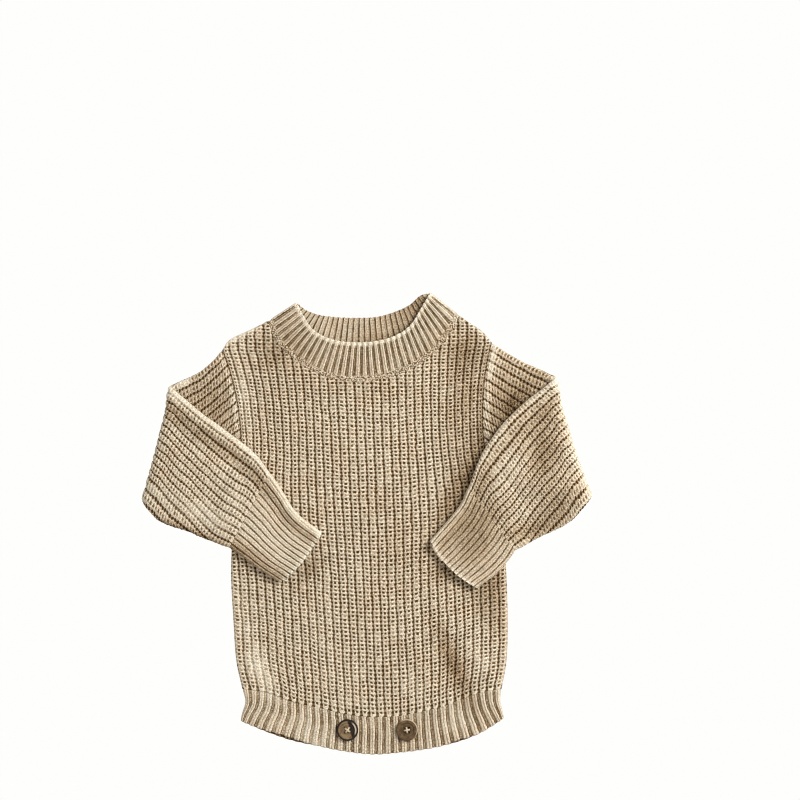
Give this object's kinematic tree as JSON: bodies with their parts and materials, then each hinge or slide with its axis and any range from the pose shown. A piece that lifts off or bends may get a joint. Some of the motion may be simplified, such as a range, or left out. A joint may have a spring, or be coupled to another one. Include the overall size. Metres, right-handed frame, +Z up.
{
  "type": "baby romper",
  "caption": "Long-sleeved baby romper in chunky ribbed knit, laid flat with the sleeves folded in, with a ribbed collar, cuffs and a buttoned crotch band.",
  "frame": {"origin": "on the surface that the garment lies on, under the middle of the body", "axes": "+Z up and out of the front of the garment, +Y from the crotch band to the neck, +X to the right as seen from above"},
  "size_m": [0.4086, 0.4167, 0.0156],
  "materials": {
    "body_knit": "matt, heathered oatmeal wool, deep ribs",
    "sleeve_knit": "matt, heathered oatmeal wool, deep ribs",
    "rib_knit": "matt, heathered oatmeal wool, close ribs",
    "button_wood": "polished, darker rim"
  },
  "bodies": {
    "root": {"front_panel": "body_knit", "back_panel": "body_knit", "left_sleeve": "sleeve_knit", "right_sleeve": "sleeve_knit", "left_cuff": "rib_knit", "right_cuff": "rib_knit", "collar": "rib_knit", "front_hem_band": "rib_knit", "back_hem_band": "rib_knit", "left_button": "button_wood", "right_button": "button_wood"}
  },
  "joints": []
}
